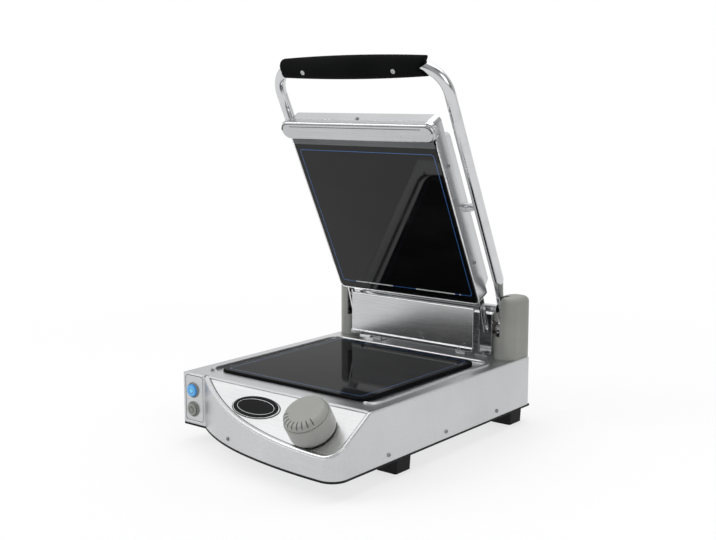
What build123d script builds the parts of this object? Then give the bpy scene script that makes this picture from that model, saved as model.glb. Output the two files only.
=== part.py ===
from build123d import *
import math
import os

# Contact grill, single plate, lid swung open.
# Frame: origin under the middle of the footprint, +Z up, front towards -Y.
# Lid and arm pieces are drawn closed and then swung open about the hinge.

# Base casing
WIDTH = 331.0
HALF = WIDTH / 2
REAR_Y = 221.0
CREASE_Y = -157.0
FRONT_Y = -229.0
SHEET = 1.2
FOOT_HEIGHT = 24.0
DECK_Z = 98.0
TRIM_HEIGHT = 3.0
CASING_Z = FOOT_HEIGHT + TRIM_HEIGHT - 1.0
PANEL_SLOPE = 32.2
PANEL_LEFT_X = -124.0
BUTTON_PANEL_Y = -161.5
FRONT_CORNER_R = 22.0
LIP_WIDTH = 6.0
PANEL_SINK = 1.2

# Cooking glass and the pressed rim round it
GLASS_HALF_X = 127.4
GLASS_FRONT_Y = -129.0
GLASS_REAR_Y = 131.0
GLASS_TOP_Z = 101.5
GLASS_THICK = 4.0
GLASS_R = 16.0
RIM_HALF_X = 150.0
RIM_FRONT_Y = -139.0
RIM_REAR_Y = 150.0
RIM_R = 24.0
RIM_WIDTH = 7.0
RIM_RISE = 2.4

# Splash panel
SPLASH_Y = 147.0

# Hinge
HINGE_Y = 196.6
HINGE_Z = 138.35
OPEN_ANGLE = 64.0
AXLE_R = 6.0
LEG_X = 135.0
LEG_R = 5.5
ANKLE_Y = 144.0
ANKLE_Z = 147.0
HUB_R = 13.0
TIE_Y = 157.8
TIE_Z = 135.5
TIE_R = 6.0
PILLAR_X = 98.5
PILLAR_WIDTH = 21.0
BEAM_TOP_Z = 160.0
COVER_X = 126.0
COVER_WIDTH = 36.0
COVER_Y = 171.0
COVER_DEPTH = 52.0
COVER_HEIGHT = 90.0
COVER_CORNER_R = 15.0
COVER_TOP_R = 8.0

# Lid, measured from its closed rear face and glass face
LID_REAR_Y = 133.0
LID_FACE_Z = 106.4
LID_LENGTH = 291.0
LID_HALF_X = 128.0
LID_BAND = 25.6
LID_CORNER_R = 9.0
LID_COVER_HALF_X = 124.5
LID_COVER_TOP = 44.0
LID_GLASS_LENGTH = 262.0
STRAP_X = 120.3
PIVOT_U = 144.5
PIVOT_V = 31.0
PIVOT_R = 4.0
LUG_R = 6.5

# Arms and handle
ARM_X = 148.0
ARM_R = 8.0
ARM_V = 30.0
ARM_BEND_R = 40.0
HANDLE_U = 358.0
GRIP_HALF = 126.0
GRIP_MID_R = 16.5
GRIP_END_R = 13.5

# Knob on the sloped panel
KNOB_X = 106.5
KNOB_S = 48.0
KNOB_R = 30.5
KNOB_BODY_H = 25.5
KNOB_TOP_H = 35.0
KNOB_GAP = 2.2
SHAFT_R = 3.0

# Button panel
BUTTON_X = -147.0
BUTTON_R = 9.0
BUTTON_BEZEL_R = 11.0
BUTTON_UPPER_Z = 74.0
BUTTON_LOWER_Z = 47.0

# Rear wall and casing screws
SCREW_Z = 35.0
GLAND_X = -100.0
GLAND_Z = 48.0
FRONT_SCREW_T = 0.27

# Heater dish
DISH_R = 105.0
DISH_H = 28.0
CHANNEL_DEPTH = 2.0
SEAL_LEDGE = 6.0

RUNNING = 0.05

PARTS = {}


def keep(name, shape):
    """Store a finished piece under its node name."""
    PARTS[name] = shape


def solid(face, height):
    """Extrude a sketch straight up by a signed height."""
    return extrude(face, amount=height)


def block(x0, x1, y0, y1, z0, z1):
    """A box between two corners."""
    centre = Pos((x0 + x1) / 2, (y0 + y1) / 2, (z0 + z1) / 2)
    return centre * Box(x1 - x0, y1 - y0, z1 - z0)


def rounded_slab(x0, x1, y0, y1, radius, z0, z1):
    """A flat slab with rounded plan corners."""
    plan = Pos((x0 + x1) / 2, (y0 + y1) / 2, z0) * RectangleRounded(x1 - x0, y1 - y0, radius)
    return solid(plan, z1 - z0)


def rod_x(x0, x1, y, z, radius):
    """A round rod along X."""
    centre = Pos((x0 + x1) / 2, y, z) * Rot(0, 90, 0)
    return centre * Cylinder(radius, x1 - x0)


def mirrored(shape):
    """The same piece on the other side."""
    return mirror(shape, about=Plane.YZ)


def swing_open(shape):
    """Turn a piece drawn closed to the open rest position."""
    pivot = Pos(0, HINGE_Y, HINGE_Z)
    return pivot * Rot(-OPEN_ANGLE, 0, 0) * pivot.inverse() * shape


def lid_y(u):
    """Closed Y of a point u forward of the lid's rear face."""
    return LID_REAR_Y - u


def lid_z(v):
    """Closed Z of a point v above the lid's glass face."""
    return LID_FACE_Z + v


def panel_plane(x, s, lift=0.0):
    """Plane on the sloped panel, s down the slope from the crease."""
    slope = math.radians(PANEL_SLOPE)
    origin = (
        x,
        CREASE_Y - s * math.cos(slope) - lift * math.sin(slope),
        DECK_Z - s * math.sin(slope) + lift * math.cos(slope),
    )
    return Plane(origin=origin, x_dir=(1, 0, 0), z_dir=(0, -math.sin(slope), math.cos(slope)))


def bow_arcs():
    """The two arcs of the bowed front wall, from its right corner leftwards."""
    bow_start = Vector(HALF - FRONT_CORNER_R, FRONT_Y)
    bow_mid = Vector(-5.0, -212.0)
    bow_end = Vector(PANEL_LEFT_X, BUTTON_PANEL_Y)
    bow_front = TangentArc(bow_start, bow_mid, tangent=(-1, 0))
    bow_side = TangentArc(bow_mid, bow_end, tangent=bow_front % 1)
    return bow_front, bow_side


def base_outline():
    """Plan of the casing: square button corner, then the bowed front wall."""
    bow_front, bow_side = bow_arcs()
    bow_start = bow_front @ 0
    bow_end = bow_side @ 1
    lines = [
        Line(bow_end, (-HALF, BUTTON_PANEL_Y)),
        Line((-HALF, BUTTON_PANEL_Y), (-HALF, REAR_Y)),
        Line((-HALF, REAR_Y), (HALF, REAR_Y)),
        Line((HALF, REAR_Y), (HALF, FRONT_Y + FRONT_CORNER_R)),
        TangentArc((HALF, FRONT_Y + FRONT_CORNER_R), bow_start, tangent=(0, -1)),
        bow_front,
        bow_side,
    ]
    return make_face(Curve() + lines)


def slope_wedge(sink=0.0):
    """Everything above the sloped control panel, right of the button panel."""
    run = 90.0
    drop = run * math.tan(math.radians(PANEL_SLOPE))
    lower = sink / math.cos(math.radians(PANEL_SLOPE))
    top = DECK_Z + 20
    profile = Polyline(
        (CREASE_Y, DECK_Z - lower),
        (CREASE_Y - run, DECK_Z - drop - lower),
        (CREASE_Y - run, top),
        (CREASE_Y, top),
        close=True,
    )
    face = Plane.YZ.offset(PANEL_LEFT_X) * make_face(profile)
    return solid(face, HALF - PANEL_LEFT_X + 10)


def make_base_casing(outline):
    """Pressed outer shell with the deck, bead, channel and open bottom."""
    height = DECK_Z - CASING_Z
    outer = solid(Pos(0, 0, CASING_Z) * outline, height) - slope_wedge()
    side_edges = outer.edges().filter_by(Axis.Z).filter_by(lambda e: e.center().Y > 100)
    outer = fillet(side_edges, 6)
    deck_rear = outer.edges().group_by(Axis.Z)[-1].filter_by(lambda e: e.center().Y > REAR_Y - 8)
    outer = fillet(deck_rear, 2.0)
    inner_outline = offset(outline, amount=-SHEET, kind=Kind.INTERSECTION)
    inner = solid(Pos(0, 0, CASING_Z - 1) * inner_outline, height + 1 - SHEET)
    inner -= slope_wedge(SHEET)
    shell = outer - inner

    bead_top = DECK_Z + RIM_RISE
    bead = rounded_slab(-RIM_HALF_X, RIM_HALF_X, RIM_FRONT_Y, RIM_REAR_Y, RIM_R, DECK_Z - 0.5, bead_top)
    bead -= rounded_slab(
        -RIM_HALF_X + RIM_WIDTH,
        RIM_HALF_X - RIM_WIDTH,
        RIM_FRONT_Y + RIM_WIDTH,
        RIM_REAR_Y - RIM_WIDTH,
        RIM_R - RIM_WIDTH,
        DECK_Z - 1,
        DECK_Z + RIM_RISE + 1,
    )
    bead = fillet(bead.edges().group_by(Axis.Z)[-1], 2.0)
    bead -= block(-137.5, 137.5, RIM_FRONT_Y - 1, RIM_FRONT_Y + RIM_WIDTH + 0.5, DECK_Z, DECK_Z + 5)
    shell += bead

    in_x = RIM_HALF_X - RIM_WIDTH
    in_rear = RIM_REAR_Y - RIM_WIDTH
    well = rounded_slab(-in_x, in_x, RIM_FRONT_Y + 8, in_rear, 15, DECK_Z - CHANNEL_DEPTH, DECK_Z + 5)
    floor = rounded_slab(
        -in_x - 1,
        in_x + 1,
        RIM_FRONT_Y + 7,
        in_rear + 1,
        16,
        DECK_Z - CHANNEL_DEPTH - SHEET,
        DECK_Z - 0.6,
    )
    shell = shell + floor - well
    opening = rounded_slab(
        -GLASS_HALF_X + SEAL_LEDGE,
        GLASS_HALF_X - SEAL_LEDGE,
        GLASS_FRONT_Y + SEAL_LEDGE,
        GLASS_REAR_Y - SEAL_LEDGE,
        GLASS_R - SEAL_LEDGE,
        DECK_Z - 10,
        DECK_Z + 5,
    )
    shell -= opening

    panel_hole = solid(Pos(0, 0, CASING_Z + 8) * panel_outline(LIP_WIDTH), 90)
    shell -= panel_hole
    for z in (BUTTON_UPPER_Z, BUTTON_LOWER_Z):
        hole = Pos(BUTTON_X, BUTTON_PANEL_Y, z) * Rot(90, 0, 0) * Cylinder(BUTTON_R + 0.6, 10)
        shell -= hole
    for x, y in screw_points_side():
        shell -= Pos(x, y, SCREW_Z) * Rot(0, 90, 0) * Cylinder(1.7, 8)
    shell -= Pos(GLAND_X, REAR_Y, GLAND_Z) * Rot(90, 0, 0) * Cylinder(8.0 + RUNNING, 10)
    for row in range(3):
        for col in range(9):
            shell -= Pos(-40 + 10 * col, REAR_Y, 60 + 8 * row) * Box(6, 10, 3)
    return shell


def screw_points_side():
    """Casing screw places on the two sides."""
    return [(side * HALF, y) for side in (-1, 1) for y in (-123.7, 2.8, 129.8)]


def panel_outline(inset):
    """Plan of the control panel: the bowed front inside the rolled lip."""
    inner = offset(base_outline(), amount=-inset, kind=Kind.INTERSECTION)
    window = Pos((PANEL_LEFT_X + HALF) / 2 + 6, CREASE_Y - 52.5) * Rectangle(HALF - PANEL_LEFT_X - 4, 100)
    return inner & window


def make_control_panel():
    """Inset sloped panel, one folded sheet with the knob shaft hole."""
    prism = solid(Pos(0, 0, CASING_Z) * panel_outline(LIP_WIDTH + 0.25), 100)
    low = PANEL_SINK + SHEET
    slab = slope_wedge(low) - slope_wedge(PANEL_SINK)
    panel = prism & slab
    hole = panel_plane(KNOB_X, KNOB_S).location * Cylinder(4.2, 20)
    return panel - hole


def make_base():
    """All fixed pieces of the base."""
    outline = base_outline()
    keep("base_casing", make_base_casing(outline))
    keep("control_panel", make_control_panel())
    rim_in = offset(outline, amount=-5, kind=Kind.INTERSECTION)
    trim = solid(Pos(0, 0, FOOT_HEIGHT - 1) * outline, TRIM_HEIGHT)
    trim -= solid(Pos(0, 0, FOOT_HEIGHT - 2) * rim_in, TRIM_HEIGHT + 2)
    keep("edge_trim", trim)
    pan_out = offset(outline, amount=-5.2, kind=Kind.INTERSECTION)
    pan = solid(Pos(0, 0, FOOT_HEIGHT) * pan_out, SHEET)
    for row in range(5):
        for col in range(8):
            pan -= Pos(-70 + 20 * col, -40 + 20 * row, FOOT_HEIGHT + 0.5) * Box(12, 4, 6)
    keep("bottom_pan", pan)
    for name, x, y in (
        ("foot_front_left", -140.5, -81),
        ("foot_front_right", 140.5, -81),
        ("foot_rear_left", -140.5, 197),
        ("foot_rear_right", 140.5, 197),
    ):
        lower = Pos(x, y, 0) * RectangleRounded(32, 32, 3)
        upper = Pos(x, y, FOOT_HEIGHT) * RectangleRounded(34, 34, 3)
        foot = loft([lower, upper])
        foot -= Pos(x, y, 0) * Cylinder(5, 16, align=(Align.CENTER, Align.CENTER, Align.MIN))
        keep(name, foot)


def make_cooking_glass():
    """Lower glass, its seal and the heater under it."""
    top = GLASS_TOP_Z
    under = top - GLASS_THICK
    glass = rounded_slab(-GLASS_HALF_X, GLASS_HALF_X, GLASS_FRONT_Y, GLASS_REAR_Y, GLASS_R, under, top)
    glass = chamfer(glass.edges().group_by(Axis.Z)[-1], 0.8)
    keep("lower_glass", glass)
    grow = 1.7
    seal = rounded_slab(
        -GLASS_HALF_X - grow,
        GLASS_HALF_X + grow,
        GLASS_FRONT_Y - 1.3,
        GLASS_REAR_Y + grow,
        GLASS_R + grow,
        DECK_Z - CHANNEL_DEPTH,
        top - 0.9,
    )
    seal -= rounded_slab(-GLASS_HALF_X, GLASS_HALF_X, GLASS_FRONT_Y, GLASS_REAR_Y, GLASS_R, under, top + 1)
    seal -= rounded_slab(
        -GLASS_HALF_X + 8, GLASS_HALF_X - 8, GLASS_FRONT_Y + 8, GLASS_REAR_Y - 8, 10, top - 20, top
    )
    keep("lower_seal", seal)
    dish_z = under - DISH_H
    make_heater("lower", dish_z, 1, dish_z - FOOT_HEIGHT - SHEET)


def make_heater(side, z, up, leg):
    """Radiant heater: pressed dish on brackets, insulation bed and ribbon rings."""
    dish = Cylinder(DISH_R, DISH_H, align=(Align.CENTER, Align.CENTER, Align.MIN))
    dish -= Pos(0, 0, SHEET) * Cylinder(DISH_R - 1, 30, align=(Align.CENTER, Align.CENTER, Align.MIN))
    for x in (-60, 60):
        for y in (-45, 45):
            dish += block(x - 7, x + 7, y, y + SHEET, -leg, 0.1)
            dish += block(x - 7, x + 7, y, y + 10, -leg, SHEET - leg)
    bed = Pos(0, 0, SHEET) * Cylinder(DISH_R - 1.2, 18, align=(Align.CENTER, Align.CENTER, Align.MIN))
    bed -= Pos(0, 0, SHEET + 12) * Cylinder(92, 10, align=(Align.CENTER, Align.CENTER, Align.MIN))
    rings = Part()
    for radius in (30, 50, 70, 86):
        ring = Cylinder(radius, 6, align=(Align.CENTER, Align.CENTER, Align.MIN))
        ring -= Cylinder(radius - 2.5, 6, align=(Align.CENTER, Align.CENTER, Align.MIN))
        rings += Pos(0, 0, SHEET + 12) * ring
    centre_y = (GLASS_FRONT_Y + GLASS_REAR_Y) / 2
    if up > 0:
        place = Pos(0, centre_y, z)
    else:
        place = Pos(0, centre_y, z) * Rot(180, 0, 0)
    for label, shape in (("heater_dish", dish), ("insulation", bed), ("element", rings)):
        placed = place * shape
        if up < 0:
            placed = swing_open(placed)
        keep(side + "_" + label, placed)


def make_splash_panel():
    """Upright panel behind the glass with rolled top, hem and rear legs."""
    y = SPLASH_Y
    half = 112.4
    bottom = 109.5
    top = 174.5
    sheet = block(-half, half, y - 0.6, y + 0.6, bottom, top - 2.5)
    sheet += rod_x(-half, half, y + 1.9, top - 2.5, 2.5)
    sheet += block(-half, half, y - 2.6, y + 0.6, bottom, bottom + 6)
    hem_edges = sheet.edges().filter_by(Axis.X).filter_by(lambda e: e.center().Y < y - 2)
    sheet = fillet(hem_edges, 1.4)
    for side in (-1, 1):
        leg = block(side * 78 - 8, side * 78 + 8, y + 0.5, y + 20, bottom, bottom + SHEET)
        leg += block(side * 78 - 8, side * 78 + 8, y + 20 - SHEET, y + 20, DECK_Z, bottom + SHEET)
        leg += block(side * 78 - 8, side * 78 + 8, y + 20 - SHEET, y + 34, DECK_Z, DECK_Z + SHEET)
        sheet += leg
    keep("splash_panel", sheet)
    screws = Part()
    for side in (-1, 1):
        screws += Pos(side * 90, y - 2.6, bottom + 3) * Rot(90, 0, 0) * screw_head(2.6, 1.6)
        screws += Pos(side * 78, y + 27, DECK_Z + SHEET) * screw_head(3.2, 2.0)
    keep("splash_screws", screws)


def screw_head(radius, height):
    """Domed screw head standing on z = 0 with a cross recess."""
    head = Cylinder(radius, height, align=(Align.CENTER, Align.CENTER, Align.MIN))
    head = fillet(head.edges().group_by(Axis.Z)[-1], height * 0.6)
    recess = Box(radius * 1.1, radius * 0.3, height) + Box(radius * 0.3, radius * 1.1, height)
    return head - Pos(0, 0, height) * recess


def make_hinge():
    """Hinge pillars, bushes, covers, cross beam and counterbalance springs."""
    x0, x1 = PILLAR_X, PILLAR_X + PILLAR_WIDTH
    wall = 3.0
    web_y0 = HINGE_Y - 10
    ear = block(x0, x0 + wall, web_y0, HINGE_Y + 14, DECK_Z, 153)
    ear += rod_x(x0, x0 + wall, HINGE_Y + 2, 153, 12)
    ear &= block(x0, x1, web_y0, HINGE_Y + 14, DECK_Z, 170)
    pillar = ear + Pos(x1 - x0 - wall, 0, 0) * ear
    pillar += block(x0, x1, web_y0, web_y0 + wall, DECK_Z, 160)
    pillar += block(x0, x1, web_y0 - 12, web_y0 + wall, DECK_Z, DECK_Z + 2.5)
    pillar -= rod_x(x0 - 1, x1 + 1, HINGE_Y, HINGE_Z, 9.0)
    pillar -= Pos(x0 + 10.5, web_y0 - 6, DECK_Z) * Cylinder(2.2, 12)
    bush = rod_x(x0 - 2, x1 + 2, HINGE_Y, HINGE_Z, 9.0) - rod_x(x0 - 4, x1 + 4, HINGE_Y, HINGE_Z, AXLE_R + RUNNING)
    screw = Pos(x0 + 10.5, web_y0 - 6, DECK_Z + 2.5) * screw_head(3.6, 2.4)
    for side, flip in (("right", False), ("left", True)):
        keep("hinge_pillar_" + side, mirrored(pillar) if flip else pillar)
        keep("hinge_bush_" + side, mirrored(bush) if flip else bush)
    keep("pillar_screws", screw + mirrored(screw))

    end = PILLAR_X - 2
    beam = block(-end, end, HINGE_Y - 9, HINGE_Y + 13, DECK_Z, BEAM_TOP_Z)
    beam -= block(-end - 1, end + 1, HINGE_Y - 9 + SHEET, HINGE_Y + 13 - SHEET, DECK_Z - 1, BEAM_TOP_Z - SHEET)
    keep("rear_beam", beam)

    cover = make_hinge_cover()
    keep("hinge_cover_right", cover)
    keep("hinge_cover_left", mirrored(cover))

    coil = make_spring()
    keep("counter_spring_right", coil)
    keep("counter_spring_left", mirrored(coil))


def make_hinge_cover():
    """Moulded cover over one hinge side, slotted for the arm."""
    x0, x1 = COVER_X, COVER_X + COVER_WIDTH
    y0, y1 = COVER_Y, COVER_Y + COVER_DEPTH
    plan = Pos((x0 + x1) / 2, (y0 + y1) / 2, DECK_Z) * RectangleRounded(x1 - x0, y1 - y0, COVER_CORNER_R)
    body = solid(plan, COVER_HEIGHT)
    slab = Box(200, 200, 40, align=(Align.CENTER, Align.CENTER, Align.MIN))
    lean = Pos(0, y0, DECK_Z + COVER_HEIGHT + 1) * Rot(-7, 0, 0) * slab
    body -= lean
    body = fillet(body.edges().group_by(Axis.Z)[-1], COVER_TOP_R)
    wall = 2.5
    inner = RectangleRounded(x1 - x0 - 2 * wall, y1 - y0 - 2 * wall, COVER_CORNER_R - wall)
    inside = Pos((x0 + x1) / 2, (y0 + y1) / 2, DECK_Z - 1) * inner
    hollow = solid(inside, COVER_HEIGHT - 9) - Pos(0, 0, -3.5) * lean
    body -= hollow
    side = LEG_X + LEG_R + 1.1
    body -= block(x0 - 1, side, y0 - 1, HINGE_Y + 2, HINGE_Z - LEG_R - 1.9, 200)
    body -= rod_x(x0 - 1, LEG_X - 6, HINGE_Y, HINGE_Z, 10)
    return body


def make_spring():
    """Torsion spring round the outer end of the axle."""
    wire = 1.5
    radius = AXLE_R + RUNNING + wire
    turns = 3.5
    pitch = 3.4
    start = Pos(145.5, HINGE_Y, HINGE_Z) * Rot(0, 90, 0)
    path = start * Helix(pitch=pitch, height=pitch * turns, radius=radius)
    profile = Plane(origin=path @ 0, z_dir=path % 0) * Circle(wire)
    return sweep(profile, path=path, is_frenet=True)


def make_controls():
    """Thermostat, switch bodies, bezels, badge and gland."""
    plane = panel_plane(KNOB_X, KNOB_S, -PANEL_SINK - SHEET)
    body = plane.location * Pos(0, 0, -17) * Box(34, 34, 30)
    body += plane.location * Pos(0, 0, -3) * Cylinder(4.0, 5, align=(Align.CENTER, Align.CENTER, Align.MIN))
    bore = Cylinder(SHAFT_R + RUNNING, 30, align=(Align.CENTER, Align.CENTER, Align.MIN))
    body -= plane.location * Pos(0, 0, -20) * bore
    keep("thermostat_body", body)
    length = 19 + PANEL_SINK + SHEET + KNOB_GAP - PANEL_SINK + 15
    shaft = Cylinder(SHAFT_R, length, align=(Align.CENTER, Align.CENTER, Align.MIN))
    keep("knob_shaft", plane.location * Pos(0, 0, -19) * shaft)
    keep_knob()

    switches = Part()
    bezels = Part()
    for z in (BUTTON_UPPER_Z, BUTTON_LOWER_Z):
        place = Pos(BUTTON_X, BUTTON_PANEL_Y, z) * Rot(90, 0, 0)
        ring = Cylinder(BUTTON_BEZEL_R, 1.6, align=(Align.CENTER, Align.CENTER, Align.MIN))
        ring = chamfer(ring.edges().group_by(Axis.Z)[-1], 0.8)
        ring -= Cylinder(BUTTON_R, 5)
        bezels += place * ring
        collar = Cylinder(BUTTON_BEZEL_R, 9.8, align=(Align.CENTER, Align.CENTER, Align.MAX))
        collar -= Cylinder(BUTTON_R + 0.3, 30)
        switches += place * Pos(0, 0, -24) * Box(24, 24, 26)
        switches += place * Pos(0, 0, -SHEET) * collar
    keep("button_bezels", bezels)
    keep("switch_bodies", switches)
    for name, z in (("power_button", BUTTON_UPPER_Z), ("timer_button", BUTTON_LOWER_Z)):
        cap = Cylinder(BUTTON_R - 0.35, 10, align=(Align.CENTER, Align.CENTER, Align.MIN))
        cap = fillet(cap.edges().group_by(Axis.Z)[-1], 1.0)
        keep(name, Pos(BUTTON_X, BUTTON_PANEL_Y, z) * Rot(90, 0, 0) * Pos(0, 0, -6) * cap)

    badge = panel_plane(-4.5, 33.0, -PANEL_SINK)
    oval = badge.location * solid(Ellipse(36, 16.5), 1.6)
    recess = badge.location * Pos(0, 0, 0.8) * solid(Ellipse(32.5, 13.5), 2)
    keep("badge_rim", oval - recess)
    keep("badge_face", badge.location * Pos(0, 0, 0.8) * solid(Ellipse(32.3, 13.3), 0.6))

    reach = -PARTS["knob_face"].bounding_box().min.Y - REAR_Y
    gland = Pos(0, 0, -12) * Cylinder(8.0, reach + 12, align=(Align.CENTER, Align.CENTER, Align.MIN))
    gland += extrude(RegularPolygon(12, 6), amount=5)
    gland -= Cylinder(4.0, 80)
    keep("cable_gland", Pos(GLAND_X, REAR_Y, GLAND_Z) * Rot(-90, 0, 0) * gland)
    pan_top = FOOT_HEIGHT + SHEET
    terminal = block(GLAND_X - 25, GLAND_X + 25, REAR_Y - 50, REAR_Y - 32, pan_top, pan_top + 20)
    keep("terminal_block", terminal)


def keep_knob():
    """Knob skirt and its inset face, both with the shaft bore."""
    seat = panel_plane(KNOB_X, KNOB_S, KNOB_GAP - PANEL_SINK)
    skirt_line = [
        (0, 0),
        (KNOB_R - 1.6, 0),
        (KNOB_R - 0.2, 4),
        (KNOB_R, KNOB_BODY_H - 1),
        (KNOB_R - 1.0, KNOB_BODY_H),
        (0, KNOB_BODY_H),
    ]
    skirt = revolve(Plane.XZ * make_face(Polyline(*skirt_line, close=True)), Axis.Z)
    hollow = Cylinder(KNOB_R - 3.5, KNOB_BODY_H - 5, align=(Align.CENTER, Align.CENTER, Align.MIN))
    hollow -= Cylinder(7.0, KNOB_BODY_H, align=(Align.CENTER, Align.CENTER, Align.MIN))
    skirt -= hollow
    skirt -= Cylinder(SHAFT_R, 15, align=(Align.CENTER, Align.CENTER, Align.MIN))
    skirt -= Cylinder(8.0, 4, align=(Align.CENTER, Align.CENTER, Align.MIN))
    cap_line = [
        (0, KNOB_BODY_H + 0.01),
        (KNOB_R - 2.2, KNOB_BODY_H + 0.01),
        (KNOB_R - 1.6, KNOB_BODY_H + 1.2),
        (KNOB_R - 2.6, KNOB_TOP_H - 3.0),
        (KNOB_R - 4.4, KNOB_TOP_H - 0.9),
        (KNOB_R - 7.0, KNOB_TOP_H),
        (0, KNOB_TOP_H + 0.6),
    ]
    cap = revolve(Plane.XZ * make_face(Polyline(*cap_line, close=True)), Axis.Z)
    for step in range(9):
        angle = -150 + 15 * step
        groove = Rot(0, 0, angle) * Pos(KNOB_R - 4.0, 0, KNOB_TOP_H - 1.6) * Box(9, 1.2, 5)
        cap -= groove
    keep("knob_skirt", seat.location * skirt)
    keep("knob_face", seat.location * cap)


def make_arms():
    """U-shaped tube, its handle and the parts that swing with it."""
    arm_z = lid_z(ARM_V)
    bend_start_y = lid_y(HANDLE_U - ARM_BEND_R)
    handle_y = lid_y(HANDLE_U)
    leg_bend_y = lid_y(28)
    top_path = [
        Line((ARM_X, leg_bend_y, arm_z), (ARM_X, bend_start_y, arm_z)),
        TangentArc((ARM_X, bend_start_y, arm_z), (ARM_X - ARM_BEND_R, handle_y, arm_z), tangent=(0, -1, 0)),
        Line((ARM_X - ARM_BEND_R, handle_y, arm_z), (-ARM_X + ARM_BEND_R, handle_y, arm_z)),
        TangentArc((-ARM_X + ARM_BEND_R, handle_y, arm_z), (-ARM_X, bend_start_y, arm_z), tangent=(-1, 0, 0)),
        Line((-ARM_X, bend_start_y, arm_z), (-ARM_X, leg_bend_y, arm_z)),
    ]
    path = Curve() + top_path
    section = Plane(origin=(ARM_X, leg_bend_y, arm_z), z_dir=(0, -1, 0)) * Circle(ARM_R)
    tube = sweep(section, path=path)
    knee = Vector(ARM_X, leg_bend_y, arm_z)
    ankle = Vector(LEG_X, ANKLE_Y, ANKLE_Z)
    hub = Vector(LEG_X, HINGE_Y, HINGE_Z)
    for flip in (False, True):
        sign = -1 if flip else 1
        first = Vector(knee.X * sign, knee.Y, knee.Z)
        second = Vector(ankle.X * sign, ankle.Y, ankle.Z)
        third = Vector(hub.X * sign, hub.Y, hub.Z)
        taper = cone_between(first, second, ARM_R, LEG_R)
        shank = cone_between(second, third, LEG_R, LEG_R)
        tube += Pos(*first) * Sphere(ARM_R)
        tube += taper + Pos(*second) * Sphere(LEG_R) + shank
    tube -= rod_x(-ARM_X - 20, ARM_X + 20, HINGE_Y, HINGE_Z, HUB_R)
    tube -= pivot_rod(-ARM_X - 2, ARM_X + 2, PIVOT_R)
    keep("arm_frame", swing_open(tube))

    hub_disc = rod_x(LEG_X - LEG_R, LEG_X + LEG_R, HINGE_Y, HINGE_Z, HUB_R)
    hub_disc -= rod_x(100, 200, HINGE_Y, HINGE_Z, AXLE_R)
    keep("hinge_hub_right", swing_open(hub_disc))
    keep("hinge_hub_left", swing_open(mirrored(hub_disc)))
    keep("hinge_axle", rod_x(-158, 158, HINGE_Y, HINGE_Z, AXLE_R))
    tie = rod_x(-LEG_X, LEG_X, TIE_Y, TIE_Z, TIE_R)
    tie -= cone_between(ankle, hub, LEG_R, LEG_R) + mirrored(cone_between(ankle, hub, LEG_R, LEG_R))
    tie = tie.solids().sort_by(SortBy.VOLUME)[-1]
    keep("tie_bar", swing_open(tie))
    make_handle(handle_y, arm_z)


def cone_between(start, end, r0, r1):
    """A straight tapered tube between two points."""
    axis = end - start
    plane = Plane(origin=start, z_dir=axis)
    if abs(r0 - r1) < 0.01:
        shape = Cylinder(r0, axis.length, align=(Align.CENTER, Align.CENTER, Align.MIN))
    else:
        shape = Cone(r0, r1, axis.length, align=(Align.CENTER, Align.CENTER, Align.MIN))
    return plane.location * shape


def make_handle(y, z):
    """Barrel-shaped grip round the cross tube, with two socket screws."""
    half = GRIP_HALF
    outline = [
        Line((-half, 0), (-half, GRIP_END_R - 4)),
        ThreePointArc((-half, GRIP_END_R - 4), (-half + 1.3, GRIP_END_R - 1.2), (-half + 4, GRIP_END_R)),
        ThreePointArc((-half + 4, GRIP_END_R), (0, GRIP_MID_R), (half - 4, GRIP_END_R)),
        ThreePointArc((half - 4, GRIP_END_R), (half - 1.3, GRIP_END_R - 1.2), (half, GRIP_END_R - 4)),
        Line((half, GRIP_END_R - 4), (half, 0)),
        Line((half, 0), (-half, 0)),
    ]
    grip = revolve(make_face(Curve() + outline), Axis.X)
    grip -= Rot(0, 90, 0) * Cylinder(ARM_R, 2 * (ARM_X - ARM_BEND_R) + 1)
    notch = make_face(Polyline((0, 0), (16, 8.5), (16, -10.5), close=True))
    notch = Pos(half - 13, 0, -GRIP_MID_R - 1) * solid(notch, 2 * GRIP_MID_R + 2)
    for side in (-1, 1):
        grip -= Pos(side * (ARM_X - ARM_BEND_R), ARM_BEND_R, 0) * torus_cut()
    grip -= notch + mirrored(notch)
    sockets = Part()
    for side in (-1, 1):
        x = side * 79
        grip -= Pos(x, 0, -GRIP_MID_R) * Cylinder(3.6, 8)
        head = Cylinder(3.4, 4) - Pos(0, 0, -1.5) * extrude(RegularPolygon(1.7, 6), amount=-3)
        sockets += Pos(x, 0, -GRIP_MID_R + 2.0) * head
    keep("handle_grip", swing_open(Pos(0, y, z) * grip))
    keep("handle_screws", swing_open(Pos(0, y, z) * sockets))


def torus_cut():
    """The bent tube's own space plus the mouth round it."""
    return Torus(ARM_BEND_R, ARM_R + 0.2)


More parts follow.
